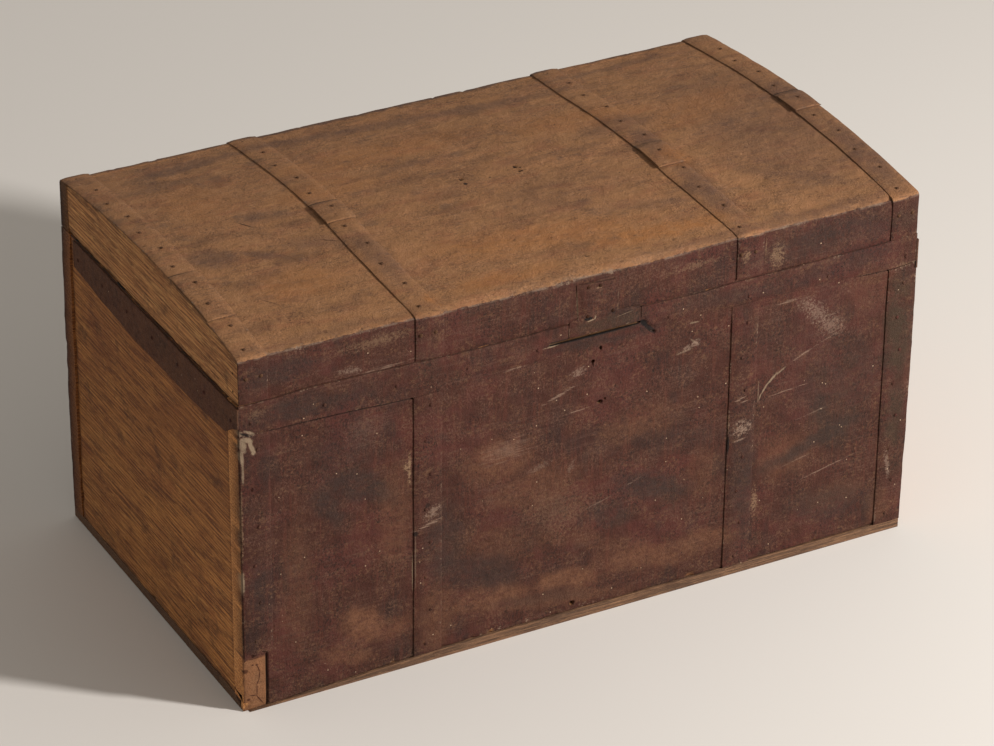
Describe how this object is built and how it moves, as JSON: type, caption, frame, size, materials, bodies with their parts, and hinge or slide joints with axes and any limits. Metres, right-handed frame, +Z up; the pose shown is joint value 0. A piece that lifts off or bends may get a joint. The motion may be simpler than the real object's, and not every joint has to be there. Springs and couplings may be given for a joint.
{
  "type": "sea chest",
  "caption": "Low arched-lid wooden sea chest bound with thin nailed iron straps, with an iron collar at the rim, strap hinges at the back, a catch plate and an inside box lock.",
  "frame": {"origin": "centre of the underside, on the floor", "axes": "+X along the length to the right seen from the front, -Y out of the front, +Z up"},
  "size_m": [0.8566, 0.4836, 0.4652],
  "materials": {
    "painted_board": "old dark red-brown paint over softwood, worn and chipped",
    "lid_board": "worn brown paint and bare wood, rubbed smooth",
    "bare_board": "coarse-grained softwood, stained and weathered",
    "bottom_board": "pale unpainted softwood edge",
    "strap_iron": "thin wrought strap under old paint, rusty at nails and edges",
    "nail_iron": "forged, dark and rusty",
    "lock_iron": "forged sheet iron, oiled and dull"
  },
  "bodies": {
    "chest": {"back_board": "bare_board", "back_strap_left": "strap_iron", "back_strap_left_end": "strap_iron", "back_strap_right": "strap_iron", "back_strap_right_end": "strap_iron", "body_board_nails": "nail_iron", "body_strap_nails": "nail_iron", "bottom_board_back": "bottom_board", "bottom_board_front": "bottom_board", "bottom_board_middle": "bottom_board", "collar_back_left": "strap_iron", "collar_back_middle": "strap_iron", "collar_back_right": "strap_iron", "collar_front": "strap_iron", "collar_left": "strap_iron", "collar_nails": "nail_iron", "collar_right": "strap_iron", "front_board": "painted_board", "front_strap_left": "strap_iron", "front_strap_left_end": "strap_iron", "front_strap_right": "strap_iron", "front_strap_right_end": "strap_iron", "hinge_pin_left": "nail_iron", "hinge_pin_right": "nail_iron", "left_end_board": "bare_board", "lock_cover": "lock_iron", "lock_guide_studs": "lock_iron", "lock_plate": "lock_iron", "lock_screws": "nail_iron", "lock_spring": "lock_iron", "right_end_board": "bare_board"},
    "lid": {"catch_nails": "nail_iron", "catch_plate": "strap_iron", "lid_back_rail": "bare_board", "lid_back_strap_left": "strap_iron", "lid_back_strap_left_end": "strap_iron", "lid_back_strap_right": "strap_iron", "lid_back_strap_right_end": "strap_iron", "lid_board_nails": "nail_iron", "lid_front_rail": "painted_board", "lid_front_strap_left": "strap_iron", "lid_front_strap_left_end": "strap_iron", "lid_front_strap_right": "strap_iron", "lid_front_strap_right_end": "strap_iron", "lid_left_end": "bare_board", "lid_right_end": "bare_board", "lid_staple": "lock_iron", "lid_stave_back": "lid_board", "lid_stave_front": "lid_board", "lid_stave_middle": "lid_board", "lid_strap_nails": "nail_iron"},
    "lock_bolt": {"lock_bolt": "lock_iron"}
  },
  "joints": [
    {"name": "lid_hinge", "type": "hinge", "parent": "chest", "child": "lid", "pos_m": [0, 0.24028, 0.38615], "axis": [-1, 0, 0], "range_deg": [0, 180]},
    {"name": "bolt_slide", "type": "slide", "parent": "chest", "child": "lock_bolt", "axis": [1, 0, 0], "range_m": [0, 0.012]}
  ]
}
